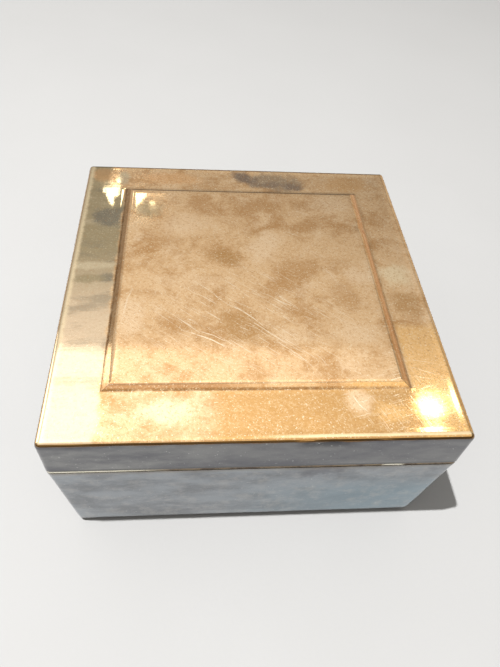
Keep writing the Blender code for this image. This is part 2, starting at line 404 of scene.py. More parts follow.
# The felt pad's section from its underside to its top: inset from the outline, and height as a share of 1.
PAD_SECTION = ((3.0, 0.0), (0.4, 0.0), (0.12, 0.12), (0.0, 0.4), (0.05, 0.75), (0.3, 0.97), (3.0, 1.0))


def pad_ring(inset, z):
    """Points round the felt pad's outline, which wanders a little as if cut with scissors."""
    half_x, half_y = PAD_HIGH.x - inset, PAD_HIGH.y - inset
    corner = PAD_CORNER - inset
    ring = []
    for sign_x, sign_y, first in ((1, 1, 0), (-1, 1, 90), (-1, -1, 180), (1, -1, 270)):
        for step in range(CORNER_STEPS + 1):
            angle = math.radians(first + 90 * step / CORNER_STEPS)
            ring.append(Vector((
                sign_x * (half_x - corner) + corner * math.cos(angle),
                sign_y * (half_y - corner) + corner * math.sin(angle),
                z,
            )))
    fine = []
    for start, end in zip(ring, ring[1:] + ring[:1]):
        count = max(1, round((end - start).length / 2))
        fine.extend(start.lerp(end, step / count) for step in range(count))
    for spot in fine:
        spot.xy -= spot.xy.normalized() * 0.3 * ripple(spot.x, spot.y, 0, 5, 6)
    return fine


def make_pad(material):
    """The felt under the base, with soft edges. It is as thick as the CAD's pad and lies flat."""
    rings = [pad_ring(inset, height * PAD_HIGH.z) for inset, height in PAD_SECTION]
    count, last = len(rings[0]), len(rings) - 1
    verts = [tuple(spot) for ring in rings for spot in ring]
    faces = [list(range(count))[::-1], [last * count + i for i in range(count)]]
    for level in range(last):
        low, high = level * count, (level + 1) * count
        faces += [[low + i, low + (i + 1) % count, high + (i + 1) % count, high + i] for i in range(count)]
    pad = new_piece("felt_pad", verts, faces, material, "base", ["base_pad"])
    pad.data.shade_smooth()
    pad.data.set_sharp_from_angle(angle=math.radians(50))


# ---------------------------------------------------------------- materials

class Look:
    """A material being built. Each method adds nodes and returns the socket that carries the result."""

    def __init__(self, name, metallic=0.0):
        self.material = bpy.data.materials.new(name)
        self.material.use_nodes = True
        self.tree = self.material.node_tree
        self.shader = self.tree.nodes["Principled BSDF"]
        self.shader.inputs["Metallic"].default_value = metallic
        self.place = self.mapped(self.add("ShaderNodeTexCoord").outputs["Object"], scale=(MM, MM, MM))
        self.ragged = self.noise(5, detail=6, roughness=0.65)
        split = self.add("ShaderNodeSeparateXYZ")
        self.feed(split.inputs[0], self.place)
        self.x, self.y, self.z = split.outputs

    def add(self, kind, **settings):
        node = self.tree.nodes.new(kind)
        for name, value in settings.items():
            setattr(node, name, value)
        return node

    def feed(self, socket, value):
        """Links a socket, or sets it to a number or colour."""
        if isinstance(value, bpy.types.NodeSocket):
            self.tree.links.new(value, socket)
        elif isinstance(value, tuple) and len(value) == 3 and socket.type == "RGBA":
            socket.default_value = (*value, 1.0)
        else:
            socket.default_value = value

    def vector(self, operation, first, second):
        node = self.add("ShaderNodeVectorMath", operation=operation)
        self.feed(node.inputs[0], first)
        self.feed(node.inputs[1], second)
        return node.outputs["Vector"]

    def maths(self, operation, first, second=0.0):
        node = self.add("ShaderNodeMath", operation=operation)
        self.feed(node.inputs[0], first)
        self.feed(node.inputs[1], second)
        return node.outputs[0]

    def mapped(self, at, centre=(0.0, 0.0, 0.0), degrees=0.0, scale=(1.0, 1.0, 1.0)):
        """The position seen from centre, along axes turned about Z, and divided by scale."""
        node = self.add("ShaderNodeMapping", vector_type="TEXTURE")
        self.feed(node.inputs["Vector"], at)
        node.inputs["Location"].default_value = centre
        node.inputs["Rotation"].default_value = (0, 0, math.radians(degrees))
        node.inputs["Scale"].default_value = scale
        return node.outputs[0]

    def mound(self, at, centre, radii, degrees=0.0):
        """1 at centre, falling evenly to 0 on the outline of an ellipse, and the same at any height."""
        node = self.add("ShaderNodeTexGradient", gradient_type="SPHERICAL")
        self.feed(node.inputs["Vector"], self.mapped(at, (*centre, 0), degrees, (*radii, 1e6)))
        return node.outputs["Fac"]

    def bent_place(self):
        """The position, pushed about level by a millimetre or so, so that straight marks wander a little."""
        wander = self.add("ShaderNodeTexNoise")
        self.feed(wander.inputs["Vector"], self.place)
        wander.inputs["Scale"].default_value = 0.12
        centred = self.vector("SUBTRACT", wander.outputs["Color"], (0.5, 0.5, 0.5))
        return self.mapped(self.vector("ADD", self.place, self.vector("MULTIPLY", centred, (2.5, 2.5, 0.0))))

    def times(self, value, *factors):
        for factor in factors:
            value = self.maths("MULTIPLY", value, factor)
        return value

    def larger(self, first, second):
        return self.maths("MAXIMUM", first, second)

    def distance(self, value, middle):
        return self.maths("ABSOLUTE", self.maths("SUBTRACT", value, middle))

    def frayed(self, value, noise_value, amount):
        """The value moved by up to half of amount either way, so that an edge drawn with it is uneven."""
        return self.maths("ADD", value, self.times(self.maths("SUBTRACT", noise_value, 0.5), amount))

    def ramp(self, value, low, high, start=0.0, end=1.0):
        """start below low, end above high and a smooth change between them. low may be the larger one."""
        node = self.add("ShaderNodeMapRange", interpolation_type="SMOOTHSTEP")
        if low > high:
            low, high, start, end = high, low, end, start
        for socket, number in zip(node.inputs[:5], (value, low, high, start, end)):
            self.feed(socket, number)
        return node.outputs[0]

    def mix(self, share, first, second):
        """The colour first where share is 0 and second where it is 1."""
        node = self.add("ShaderNodeMix", data_type="RGBA")
        self.feed(node.inputs["Factor"], share)
        self.feed(node.inputs[6], first)
        self.feed(node.inputs[7], second)
        return node.outputs[2]

    def laid(self, colour, tint, share, strength):
        """The colour with the tint over it where share is 1, as opaque as strength says."""
        return self.mix(self.times(share, strength), colour, tint)

    def turned(self, degrees, stretch=(1.0, 1.0, 1.0), shift=(0.0, 0.0, 0.0)):
        """The position turned about Z and then scaled, so that a texture runs along a direction."""
        return self.mapped(self.place, shift, -degrees, tuple(1 / share for share in stretch))

    def noise(self, size, detail=3.0, roughness=0.55, distortion=0.0, at=None, seed=0.0):
        """Noise from 0 to 1 with features about size millimetres across."""
        place = self.mapped(at or self.place, (seed * -13.7, seed * 7.3, seed * -5.1))
        node = self.add("ShaderNodeTexNoise")
        self.feed(node.inputs["Vector"], place)
        node.inputs["Scale"].default_value = 1 / size
        node.inputs["Detail"].default_value = detail
        node.inputs["Roughness"].default_value = roughness
        node.inputs["Distortion"].default_value = distortion
        return node.outputs[0]

    def strokes(self, degrees, length, width, low, high, seed=0.0):
        """Thin broken lines along a direction: 1 on a line and 0 between them."""
        along = self.turned(degrees, (width / length, 1.0, 1.0), (seed, seed * 3, 0))
        return self.ramp(self.noise(width, detail=1.0, at=along), low, high)

    def patch(self, centre, radii, degrees=0.0, ragged=0.5):
        """A spot on the top: 1 in its middle and 0 outside, fading between inner and outer times its radii.
        The mound under it is wider, so that the outline can wander both ways."""
        inner, outer, wide = 0.45, 1.15, 1.7
        inside = self.mound(self.place, centre, (wide * radii[0], wide * radii[1]), degrees)
        height = self.frayed(inside, self.ragged, 2 * ragged / wide)
        return self.ramp(height, 1 - outer / wide, 1 - inner / wide)

    def finish(self, colour, roughness, height=None, depth=0.0):
        """Links the shader. depth is the bump's height in millimetres where height goes from 0 to 1."""
        self.feed(self.shader.inputs["Base Color"], colour)
        self.feed(self.shader.inputs["Roughness"], roughness)
        if height is not None:
            bump = self.add("ShaderNodeBump")
            bump.inputs["Distance"].default_value = depth * MM
            self.feed(bump.inputs["Height"], height)
            self.feed(self.shader.inputs["Normal"], bump.outputs[0])
        return self.material


# Colours of the lid's top, then of its left border, its tarnish, the base's plate and the lid's skirt, some of
# them painted highlights, reflections and shade.
TAN = (0.78, 0.525, 0.29)
PINK = (0.87, 0.635, 0.40)
BROWN = (0.56, 0.32, 0.14)
DEEP_BROWN = (0.50, 0.28, 0.11)
ORANGE = (0.59, 0.34, 0.125)
GOLD = (0.86, 0.53, 0.215)
CREAM = (0.92, 0.76, 0.50)
FLECK = (1.0, 0.88, 0.66)
SCRATCHED = (1.0, 0.88, 0.68)
SLOPE_ORANGE = (0.72, 0.36, 0.14)
SLOPE_BROWN = (0.46, 0.25, 0.12)
SLOPE_LINE_SHADE = (0.26, 0.13, 0.045)
AMBER = (0.58, 0.33, 0.115)
DARK_AMBER = (0.30, 0.17, 0.075)
OLIVE = (0.37, 0.30, 0.18)
OLIVE_DARK = (0.22, 0.195, 0.145)
OLIVE_PALE = (0.60, 0.50, 0.335)
OLIVE_FRONT = (0.72, 0.56, 0.385)
TARNISH = (0.22, 0.16, 0.125)
TARNISH_PALE = (0.38, 0.28, 0.185)
PLATE = (0.29, 0.315, 0.34)
PLATE_DARK = (0.165, 0.175, 0.19)
PLATE_BLUE_REFLECTION = (0.185, 0.285, 0.345)
PLATE_CLOUD = (0.48, 0.46, 0.43)
PLATE_FLECK = (0.85, 0.85, 0.82)
PLATE_RUBBED = (0.6, 0.6, 0.6)
PLATE_SPOT = (0.10, 0.10, 0.12)
PLATE_FOOT_SHADE = (0.06, 0.062, 0.068)
RIM_BROWN = (0.30, 0.25, 0.19)
RIM_GAP_SHADE = (0.05, 0.04, 0.035)
SKIRT = (0.275, 0.275, 0.27)
SKIRT_DARK = (0.135, 0.135, 0.15)
SKIRT_DARK_REFLECTION = (0.05, 0.05, 0.055)
SKIRT_FLECK = (0.8, 0.8, 0.78)
SKIRT_GAP_SHADE = (0.05, 0.045, 0.04)

# Marks on the lid's top: centre, radii, turn, colour, strength.
MARKS = (
    ((-8, 8), (6.5, 4.5), -20, DEEP_BROWN, 0.95),
    ((-16, 37), (6, 7), 10, BROWN, 0.8),
    ((6, 36), (9, 5), 12, BROWN, 0.8),
    ((21, 24), (8, 4.5), 15, BROWN, 0.85),
    ((16, 3), (9, 6), 25, BROWN, 0.7),
    ((8, -7), (8, 4.5), 40, BROWN, 0.7),
    ((31, -10), (6, 8), 10, BROWN, 0.6),
    ((-3, -23), (10, 7), -30, DEEP_BROWN, 0.75),
    ((16, -17), (9, 4), -15, BROWN, 0.5),
    ((-24, -23), (4.5, 4), 20, BROWN, 0.7),
    ((-31, 20), (6, 7), 0, BROWN, 0.35),
    ((-35, 33), (6, 5), 0, OLIVE, 0.8),
    ((-22, 25), (9, 7), 15, PINK, 0.55),
    ((6, 14), (6, 10), -30, PINK, 0.85),
    ((38, -1), (6, 4.5), 0, PINK, 0.8),
    ((33, 38), (9, 7), 0, PINK, 0.5),
    ((-20, -4), (14, 4), 0, PINK, 0.35),
    ((-38, -19), (5, 9), 0, PINK, 0.7),
    ((11, -27), (7, 4), 0, PINK, 0.4),
    ((32, -26), (8, 5), 0, PINK, 0.5),
    ((13, 53), (14, 6.5), -8, TARNISH_PALE, 0.9),
    ((1.5, 55.5), (6.5, 4.2), -35, TARNISH, 0.95),
    ((11, 51.5), (4.5, 2.4), 10, TARNISH, 0.6),
    ((20, 50.5), (5, 2.8), -20, TARNISH, 0.8),
    ((-28, 54), (14, 4.5), 0, (0.80, 0.47, 0.22), 0.85),
    ((-14, 49), (10, 2.5), 0, BROWN, 0.5),
    ((42, 53), (12, 6), 0, (0.70, 0.40, 0.16), 0.6),
    ((-46, 53), (3, 5), 0, OLIVE_PALE, 0.8),
    ((51, 2), (7, 6), 20, CREAM, 0.75),
    ((52, -12), (7, 7), 0, DEEP_BROWN, 0.7),
    ((50, 31), (4, 6), 0, BROWN, 0.6),
    ((-26, -52), (10, 5), 0, CREAM, 0.8),
    ((28, -50), (4.5, 5), 0, PINK, 0.9),
    ((37, -53), (5, 4), 0, GOLD, 0.8),
)

# Marks on the lid's left border, which is coloured a dull olive.
LEFT_MARKS = (
    ((-49, 30), (7, 7), 0, OLIVE_DARK, 0.95),
    ((-51, 21), (8, 4), 0, OLIVE, 0.7),
    ((-52, 4.6), (10, 2.2), 3, OLIVE_PALE, 0.95),
    ((-47, -1.2), (4, 2.6), 0, OLIVE_DARK, 0.8),
    ((-53, -1.5), (7, 2.4), 0, OLIVE, 0.9),
    ((-53, 55), (6, 5), 0, BROWN, 0.7),
)

# Single scratches on the lid's top: ends, width and strength.
SCRATCHES = (
    ((-15.5, -7), (6, -25), 0.30, 0.75),
    ((-12, -8), (3, -18.5), 0.22, 0.45),
    ((-9, -5), (9, -13), 0.22, 0.35),
    ((-21.5, -24), (-8.5, -30.8), 0.34, 0.9),
    ((-18.5, -24), (-7, -29.6), 0.26, 0.75),
    ((-15.5, -26.8), (-9, -31), 0.30, 0.8),
    ((4.5, -9), (13.5, -15), 0.34, 0.8),
    ((10, -32), (16.5, -38.8), 0.30, 0.7),
    ((17, -33.5), (21, -37.5), 0.28, 0.6),
    ((-38.3, -6), (-41, -22), 0.5, 0.4),
    ((24.5, 5), (29.5, -3), 0.30, 0.45),
    ((-3, 3), (5, -1), 0.25, 0.4),
    ((14, 22), (19, 19), 0.30, 0.45),
    ((26.5, -47), (31, -53.5), 0.40, 0.9),
    ((39, -47), (42, -53), 0.22, 0.45),
    ((45.5, -37), (55, -40.5), 0.26, 0.6),
    ((47, -34.5), (56, -36.5), 0.22, 0.5),
    ((46.5, -41), (53, -42.2), 0.22, 0.55),
)


def marked(look, colour, marks):
    """The colour with a row of ragged-edged marks laid over it."""
    for centre, radii, turn, tint, strength in marks:
        colour = look.laid(colour, tint, look.patch(centre, radii, turn, ragged=0.75), strength)
    return colour


def scratch_lines(look):
    """All the single scratches together: 1 on a line and 0 beside it, broken up along its length."""
    bent = look.bent_place()
    lines = 0.0
    for (start_x, start_y), (end_x, end_y), width, strength in SCRATCHES:
        centre = ((start_x + end_x) / 2, (start_y + end_y) / 2)
        half = math.hypot(end_x - start_x, end_y - start_y) / 2
        turn = math.degrees(math.atan2(end_y - start_y, end_x - start_x))
        line = look.ramp(look.mound(bent, centre, (1.15 * half, 0.6 * width), turn), 0.0, 0.5)
        lines = look.larger(look.times(line, strength), lines)
    broken = look.ramp(look.noise(1.6, detail=3, seed=40), 0.36, 0.52, 0.25, 1.0)
    return look.times(lines, broken)


def worn_gold(look):
    """The lid's top: gold and pinkish where the plate has gone, brown where it is tarnished."""
    cloud = look.noise(12, detail=7, roughness=0.68, distortion=0.5, seed=1)
    colour = look.mix(look.ramp(cloud, 0.35, 0.57), BROWN, TAN)
    pale = look.ramp(look.noise(8, detail=6, roughness=0.7, seed=5), 0.50, 0.70)
    colour = look.laid(colour, PINK, pale, 0.65)
    front = look.times(look.ramp(look.y, -44.5, -46), look.ramp(look.x, -16, -9))
    right = look.times(look.ramp(look.x, 45, 46), look.ramp(look.y, -19, -24))
    colour = look.laid(colour, ORANGE, front, 0.9)
    colour = look.laid(colour, GOLD, right, 0.8)
    return marked(look, colour, MARKS)


def left_border(look, colour):
    """The dull left border, lighter towards the front, with its ragged edge along the panel's foot, and a
    painted cream highlight along the rounded lip at its outer edge. The second result is 1 on that border and
    0 beside it."""
    edge = look.frayed(look.x, look.noise(5, detail=5, seed=8), 5.0)
    back = look.times(look.ramp(look.y, 46, 50), 6.0)
    left = look.ramp(look.maths("ADD", edge, back), -43.6, -45.6)
    bands = look.noise(7, detail=5, roughness=0.65, at=look.turned(0, (0.3, 1, 1)), seed=9)
    olive = look.mix(look.ramp(look.y, 16, -22), OLIVE, OLIVE_FRONT)
    olive = look.laid(olive, OLIVE_DARK, look.ramp(bands, 0.52, 0.34), 0.45)
    olive = look.laid(olive, OLIVE_PALE, look.ramp(bands, 0.54, 0.70), 0.45)
    olive = marked(look, olive, LEFT_MARKS)
    colour = look.mix(left, colour, olive)
    # Painted highlight: a cream line along the rounded lip at the left edge.
    rim = look.ramp(look.frayed(look.x, look.noise(2.5, detail=5, seed=21), 1.6), -56.8, -58.2)
    rim = look.times(rim, look.ramp(look.z, BORDER_Z - 1.1, BORDER_Z - 0.5))
    return look.laid(colour, CREAM, rim, 0.7), left


def panel_edges(look, colour):
    """The panel's slopes: brown at the left, orange at the right, browner in front at the left and with a
    painted gold highlight at the front right. Painted shade, with some dirt, makes a dark line at their foot
    and a faint one along the right slope's top edge.
    """
    above_border = look.ramp(look.z, BORDER_Z + 0.1, BORDER_Z + 0.35)
    below_panel = look.ramp(look.z, LID_HIGH.z - 0.08, LID_HIGH.z - 0.35)
    slope = look.maths("MINIMUM", above_border, below_panel)
    left = look.times(look.ramp(look.x, -41, -41.8), look.ramp(look.y, -27, -21))
    right = look.ramp(look.x, 41, 41.8)
    front = look.ramp(look.y, -42.8, -43.4)
    # Browner on the front slope at the left.
    front_left_brown = look.times(front, look.ramp(look.x, 4, -16))
    # Painted highlight: gold on the front slope at the right, where a lamp glints.
    bright = look.times(front, look.ramp(look.x, 22, 30))
    colour = look.laid(colour, BROWN, look.times(slope, left), 0.35)
    colour = look.laid(colour, SLOPE_ORANGE, look.times(slope, right), 0.9)
    colour = look.laid(colour, SLOPE_BROWN, look.times(slope, front_left_brown), 0.9)
    colour = look.laid(colour, GOLD, look.times(slope, bright), 0.8)

    across = look.maths("SUBTRACT", look.distance(look.x, PANEL_X), PANEL_FOOT_X)
    along = look.maths("SUBTRACT", look.distance(look.y, PANEL_Y), PANEL_FOOT_Y)
    # Painted shade, with some dirt, in the crease at the panel's foot, and a fainter line of painted shade
    # along the top edge of the right slope.
    foot = look.ramp(look.distance(look.larger(across, along), -0.35), 0.6, 0.2)
    top = look.ramp(look.distance(across, 0.4 - SIDE_SLOPE), 0.36, 0.1)
    top = look.times(top, look.ramp(along, -2.0, -3.0), look.ramp(look.x, 0, 5))
    broken = look.ramp(look.noise(5, detail=4, seed=23), 0.36, 0.55, 0.35, 0.9)
    painted_slope_shade = look.times(look.larger(foot, look.times(top, 0.15)), broken, look.ramp(look.x, 40, 42, 1.0, 0.5))
    return look.mix(painted_slope_shade, colour, SLOPE_LINE_SHADE)


def fine_grain(look, colour, left):
    """Fine light and dark grain and pale flecks, weaker on the left border."""
    clean = look.ramp(left, 0, 1, 1.0, 0.4)
    grain = look.noise(0.8, detail=5, roughness=0.8, seed=2)
    colour = look.laid(colour, CREAM, look.times(look.ramp(grain, 0.50, 0.70), clean), 0.45)
    colour = look.laid(colour, DEEP_BROWN, look.times(look.ramp(grain, 0.49, 0.33), clean), 0.72)
    fleck = look.times(look.ramp(look.noise(0.5, detail=2, seed=3), 0.60, 0.72), clean)
    return look.laid(colour, FLECK, fleck, 0.7)


def all_scratches(look, left):
    """Hairlines on the rubbed middle of the panel, crossed ones in the front right corner and the single
    scratches, all weaker on the left border."""
    rubbed = look.patch((2, -18), (38, 24), ragged=0.4)
    hair = look.strokes(40, 11, 0.34, 0.63, 0.72, seed=4)
    hair = look.larger(hair, look.strokes(26, 8, 0.30, 0.65, 0.74, seed=11))
    hair = look.times(hair, look.ramp(rubbed, 0, 1, 0.2, 0.85))
    corner = look.patch((40, -49), (22, 13), ragged=0.5)
    crossed = look.strokes(-16, 6, 0.30, 0.64, 0.74, seed=17)
    crossed = look.larger(crossed, look.strokes(64, 6, 0.30, 0.64, 0.74, seed=19))
    crossed = look.times(crossed, look.ramp(corner, 0, 1, 0.15, 0.8))
    hair = look.times(look.larger(hair, crossed), 0.7)
    return look.times(look.larger(hair, scratch_lines(look)), look.ramp(left, 0, 1, 1.0, 0.3))


def painted_edge_reflections(look, colour):
    """Painted reflections round the lid's rounded edge: amber and then dark brown bands just above the grey
    plate, and a painted cream highlight on the lip in front at the right.
    """
    from_front = look.distance(look.y, LID_LOW.y)
    # Painted highlight: a cream line on the lip in front at the right.
    lip = look.times(look.ramp(from_front, 2.3, 1.9), look.ramp(from_front, 1.1, 1.4))
    colour = look.laid(colour, CREAM, look.times(lip, look.ramp(look.x, -4, 14)), 0.7)
    # Painted reflections: amber and then dark brown bands where the rounded edge turns down.
    colour = look.mix(look.ramp(look.z, BORDER_Z - 0.2, BORDER_Z - 0.5), colour, AMBER)
    return look.mix(look.ramp(look.z, BORDER_Z - 0.55, BORDER_Z - 0.85), colour, DARK_AMBER)


def skirt_plate(look):
    """The skirt's grey plate: streaky and darker to the right, with a painted dark reflection under the edge
    and painted shade at its foot, in the gap above the rim wire.
    """
    streaks = look.noise(12, detail=6, roughness=0.65, at=look.turned(0, (0.4, 1, 1)), seed=15)
    plate = look.mix(look.ramp(streaks, 0.35, 0.65), SKIRT_DARK, SKIRT)
    plate = look.laid(plate, SKIRT_DARK, look.ramp(look.x, -35, 0), 0.35)
    # Painted dark reflection: a dark patch under the rounded edge, right of the middle.
    stain = look.times(look.ramp(look.distance(look.x, 17), 11, 4), look.ramp(look.z, 53, 56))
    plate = look.laid(plate, SKIRT_DARK_REFLECTION, look.times(stain, look.ramp(look.ragged, 0.35, 0.6)), 0.7)
    plate = look.laid(plate, SKIRT_FLECK, look.ramp(look.noise(0.7, detail=2, seed=16), 0.68, 0.78), 0.7)
    # Painted shade: dark at the skirt's foot, in the gap above the rim wire.
    return look.laid(plate, SKIRT_GAP_SHADE, look.ramp(look.z, PARTING + 1.4, PARTING + 0.7), 0.85)


def worn_plate():
    """The lid: golden, mottled and scratched on top, grey plate on the skirt, and a painted highlight and
    painted reflection bands along the edge.
    """
    look = Look("worn_plate", metallic=1.0)
    colour, left = left_border(look, worn_gold(look))
    colour = fine_grain(look, panel_edges(look, colour), left)
    scratch = all_scratches(look, left)
    colour = look.laid(colour, SCRATCHED, scratch, 0.9)
    colour = painted_edge_reflections(look, colour)
    height = look.frayed(look.z, look.noise(5, detail=4, seed=14), 0.7)
    skirt = look.ramp(height, BORDER_Z - 0.8, BORDER_Z - 1.2)
    colour = look.mix(skirt, colour, skirt_plate(look))

    roughness = look.ramp(look.noise(10, detail=5, seed=6), 0.3, 0.7, 0.06, 0.10)
    roughness = look.maths("ADD", roughness, look.times(scratch, 0.12))
    roughness = look.maths("SUBTRACT", roughness, look.times(left, 0.02))
    roughness = look.maths("ADD", roughness, look.times(skirt, 0.06))
    shiny = look.patch((-44, 43), (18, 13), ragged=0.3)
    roughness = look.maths("SUBTRACT", roughness, look.times(shiny, 0.045))
    roughness = look.larger(roughness, 0.02)
    fine, broad = look.noise(0.8, detail=3, seed=7), look.noise(4, detail=3, seed=18)
    surface = look.maths("ADD", look.times(fine, 0.12), look.times(broad, 0.4))
    return look.finish(colour, roughness, surface, 0.012)


def grey_plate():
    """The base's walls: dull grey plate with stains and rubbed lines, a painted blue reflection low on the
    right, a painted reflection of the shadow at the foot, and painted shade in the gap under the rim wire.
    """
    look = Look("grey_plate", metallic=1.0)
    stain = look.noise(11, detail=7, roughness=0.66, at=look.turned(0, (0.5, 1, 1)), seed=2)
    colour = look.mix(look.ramp(stain, 0.36, 0.62), PLATE_DARK, PLATE)
    # Painted blue reflection, low on the right.
    blue_reflection = look.times(look.ramp(look.x, -20, 45), look.ramp(look.z, 38, 18))
    colour = look.laid(colour, PLATE_BLUE_REFLECTION, blue_reflection, 0.7)
    cloudy = look.ramp(look.noise(5, detail=5, roughness=0.7, seed=12), 0.45, 0.7)
    colour = look.laid(colour, PLATE_CLOUD, cloudy, 0.35)
    colour = look.laid(colour, PLATE_FLECK, look.ramp(look.noise(0.7, detail=2, seed=5), 0.69, 0.78), 0.7)
    colour = look.laid(colour, PLATE_RUBBED, look.strokes(8, 12, 0.35, 0.66, 0.76, seed=3), 0.3)
    spot = look.times(look.ramp(look.distance(look.x, 20), 9, 4), look.ramp(look.z, 30, 37))
    colour = look.laid(colour, PLATE_SPOT, look.times(spot, look.ramp(look.ragged, 0.35, 0.6)), 0.6)
    # Painted shade: the foot is dark, a painted reflection of the shadow on the table in front.
    foot = look.ramp(look.frayed(look.z, look.ragged, 1.5), 4.2, 2.0)
    colour = look.laid(colour, PLATE_FOOT_SHADE, foot, 0.7)
    colour = look.laid(colour, RIM_BROWN, look.ramp(look.z, PARTING - 3.5, PARTING - 1.5), 0.35)
    # Painted shade in the gap under the rim wire.
    colour = look.laid(colour, RIM_GAP_SHADE, look.ramp(look.z, PARTING - 1.4, PARTING - 0.8), 0.85)
    roughness = look.ramp(look.noise(9, detail=5, seed=6), 0.3, 0.7, 0.11, 0.17)
    fine, broad = look.noise(0.8, detail=3, seed=7), look.noise(6, detail=3, seed=8)
    return look.finish(colour, roughness, look.maths("ADD", look.times(fine, 0.15), broad), 0.015)


def bright_brass():
    """The rim wire: a painted highlight near the left corner and at one spot on the right, where it is also
    smoother, and dull between.
    """
    look = Look("bright_brass", metallic=1.0)
    # Painted highlight: pale brass where the wire catches the light, near the left corner and at one spot on
    # the right.
    left = look.ramp(look.x, -22, -40)
    spot = look.times(look.ramp(look.x, 36, 38), look.ramp(look.x, 44, 42))
    rubbed = look.larger(left, spot)
    worn = look.ramp(look.noise(3, detail=3, seed=2), 0.35, 0.6)
    colour = look.mix(rubbed, look.mix(worn, (0.16, 0.12, 0.09), (0.34, 0.26, 0.17)), (1.0, 0.95, 0.78))
    roughness = look.ramp(rubbed, 0, 1, 0.35, 0.2)
    return look.finish(colour, roughness, look.noise(1.5, seed=4), 0.02)


def hinge_brass():
    """Both hinge leaves: tarnished brass with rubbed lines along the hinge."""
    look = Look("hinge_brass", metallic=1.0)
    tarnish = look.ramp(look.noise(5, detail=5, roughness=0.65, seed=1), 0.35, 0.62)
    colour = look.mix(tarnish, (0.36, 0.23, 0.10), (0.72, 0.53, 0.27))
    colour = look.laid(colour, (0.95, 0.78, 0.48), look.strokes(0, 12, 0.3, 0.6, 0.72, seed=2), 0.4)
    roughness = look.ramp(tarnish, 0, 1, 0.42, 0.24)
    return look.finish(colour, roughness, look.noise(0.8, detail=3, seed=3), 0.01)


def pin_steel():
    """The hinge pin: drawn wire, spotted and with fine lines along it."""
    look = Look("pin_steel", metallic=1.0)
    spots = look.ramp(look.noise(3, detail=4, seed=1), 0.4, 0.6)
    colour = look.mix(spots, (0.34, 0.31, 0.28), (0.62, 0.61, 0.59))
    drawn = look.noise(0.25, at=look.turned(0, (0.02, 1, 1)), seed=2)
    return look.finish(colour, look.ramp(drawn, 0.3, 0.7, 0.22, 0.4), drawn, 0.006)


def cedar(name, along):
    """Planed cedar with its grain along one axis: growth rings, darker clouds, pores and a dull surface."""
    look = Look(name)
    squeeze = {"x": (0.05, 1, 1), "y": (1, 0.05, 1)}[along]
    grain = look.turned(0, squeeze)
    warp = look.noise(14, detail=2, at=look.turned(0, tuple(0.4 * c for c in squeeze)), seed=1)
    rings = look.add("ShaderNodeTexWave", wave_type="BANDS", bands_direction="DIAGONAL")
    look.feed(rings.inputs["Vector"], look.vector("ADD", grain, (0.0, 0.0, 3.0)))
    rings.inputs["Scale"].default_value = 0.13
    rings.inputs["Distortion"].default_value = 11.0
    rings.inputs["Detail"].default_value = 3.0
    rings.inputs["Detail Scale"].default_value = 0.9
    band = rings.outputs["Fac"]
    colour = look.mix(look.ramp(band, 0.2, 0.9), (0.25, 0.108, 0.05), (0.35, 0.175, 0.085))
    colour = look.laid(colour, (0.30, 0.125, 0.055), look.ramp(warp, 0.4, 0.7), 0.5)
    pores = look.noise(0.35, detail=2, at=grain, seed=3)
    colour = look.laid(colour, (0.13, 0.055, 0.025), look.ramp(pores, 0.6, 0.75), 0.55)
    roughness = look.ramp(band, 0, 1, 0.62, 0.5)
    surface = look.maths("SUBTRACT", look.times(band, 0.4), pores)
    return look.finish(colour, roughness, surface, 0.06)


def green_felt():
    """The pad under the base: short tufts in two greens, a little faded in places."""
    look = Look("green_felt")
    tuft = look.noise(0.5, detail=4, roughness=0.7, distortion=1.5, seed=1)
    cloud = look.noise(9, detail=3, seed=2)
    colour = look.mix(look.ramp(tuft, 0.3, 0.7), (0.018, 0.06, 0.036), (0.06, 0.15, 0.095))
    colour = look.laid(colour, (0.09, 0.14, 0.09), look.ramp(cloud, 0.4, 0.7), 0.35)
    look.shader.inputs["Sheen Weight"].default_value = 0.4
    look.shader.inputs["Sheen Roughness"].default_value = 0.5
    return look.finish(colour, look.ramp(cloud, 0.3, 0.7, 0.9, 1.0), tuft, 0.2)


# ---------------------------------------------------------------- build the pieces

def finish_cad_node(name, material):
    """Gives a carried-over CAD node its material."""
    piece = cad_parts[name]
    piece.data.materials.clear()
    piece.data.materials.append(material)


make_lid(worn_plate())
make_base(grey_plate())
make_bead(bright_brass())
make_pad(green_felt())

leaf_brass = hinge_brass()
finish_cad_node("hinge_leaf_base", leaf_brass)
finish_cad_node("hinge_leaf_lid", leaf_brass)
finish_cad_node("hinge_pin", pin_steel())

cedar_across, cedar_deep = cedar("cedar_across", "x"), cedar("cedar_deep", "y")
for half in ("base", "lid"):
    for side in ("front", "back"):
        finish_cad_node(f"{half}_lining_{side}", cedar_across)
    for side in ("left", "right"):
        finish_cad_node(f"{half}_lining_{side}", cedar_deep)
finish_cad_node("base_lining_floor", cedar_across)
finish_cad_node("lid_lining_ceiling", cedar_across)


# ---------------------------------------------------------------- stage and light

# Cycles shows an area light of 4 watts per square metre with a radiance of 1.
POWER_PER_AREA = 4


def make_floor():
    """A plain pale table top, six metres wide."""
    half = 3.0
    corners = [(-half, -half, 0), (half, -half, 0), (half, half, 0), (-half, half, 0)]
    mesh = bpy.data.meshes.new("floor")
    mesh.from_pydata(corners, [], [(0, 1, 2, 3)])
    look = Look("floor")
    shade = look.noise(60, detail=3, seed=1)
    colour = look.mix(shade, (0.222, 0.221, 0.218), (0.234, 0.233, 0.230))
    roughness = look.ramp(shade, 0, 1, 0.8, 0.9)
    mesh.materials.append(look.finish(colour, roughness, look.noise(1.2, seed=2), 0.05))
    floor = bpy.data.objects.new("floor", mesh)
    bpy.context.scene.collection.objects.link(floor)


